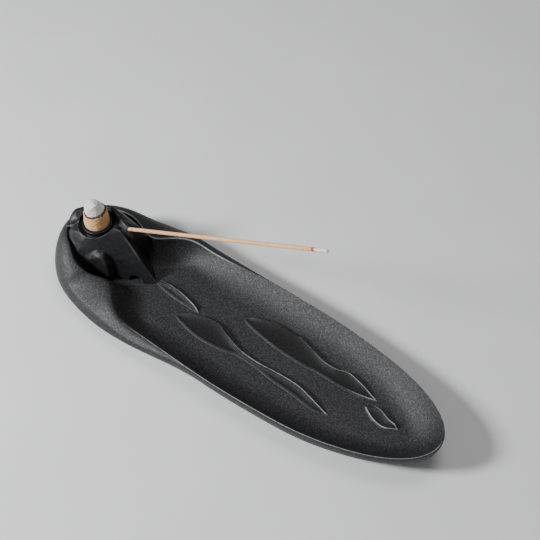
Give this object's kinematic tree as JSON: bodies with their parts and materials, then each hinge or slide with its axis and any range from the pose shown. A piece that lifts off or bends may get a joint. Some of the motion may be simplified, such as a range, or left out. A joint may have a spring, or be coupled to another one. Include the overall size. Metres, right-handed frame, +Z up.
{
  "type": "backflow incense burner",
  "caption": "Long boat-shaped ceramic dish with a rock at its heel that seats a backflow cone and holds a stick; low islands part the smoke.",
  "frame": {"origin": "under the middle of the dish, on the plane that the pads stand on", "axes": "+X along the dish from the rock's end (the heel) to the tip, +Y to the side away from the viewer, +Z up"},
  "size_m": [0.242, 0.0788, 0.1023],
  "materials": {
    "dish_glaze": "matt charcoal glaze with a fine metallic speckle",
    "rock_glaze": "satin black glaze, worn pale along the edges",
    "incense": "dry pressed incense powder",
    "char": "charred",
    "ember": "dull red ember",
    "ash": "loose pale ash",
    "pad": "matt black pad"
  },
  "bodies": {
    "burner": {"river_dish": "dish_glaze", "mountain_rock": "rock_glaze", "foot_pad_heel_near": "pad", "foot_pad_heel_far": "pad", "foot_pad_tip_near": "pad", "foot_pad_tip_far": "pad"},
    "cone": {"cone_body": "incense", "cone_ember": "char", "cone_ash": "ash"},
    "stick": {"stick_body": "incense", "stick_ember": "ember", "stick_ash": "ash"}
  },
  "joints": [
    {"name": "cone_lift", "type": "slide", "parent": "burner", "child": "cone", "axis": [0, 0, 1], "range_m": [0, 0.04]},
    {"name": "stick_pull", "type": "slide", "parent": "burner", "child": "stick", "axis": [0.8796, 0, 0.4756], "range_m": [0, 0.03]}
  ]
}
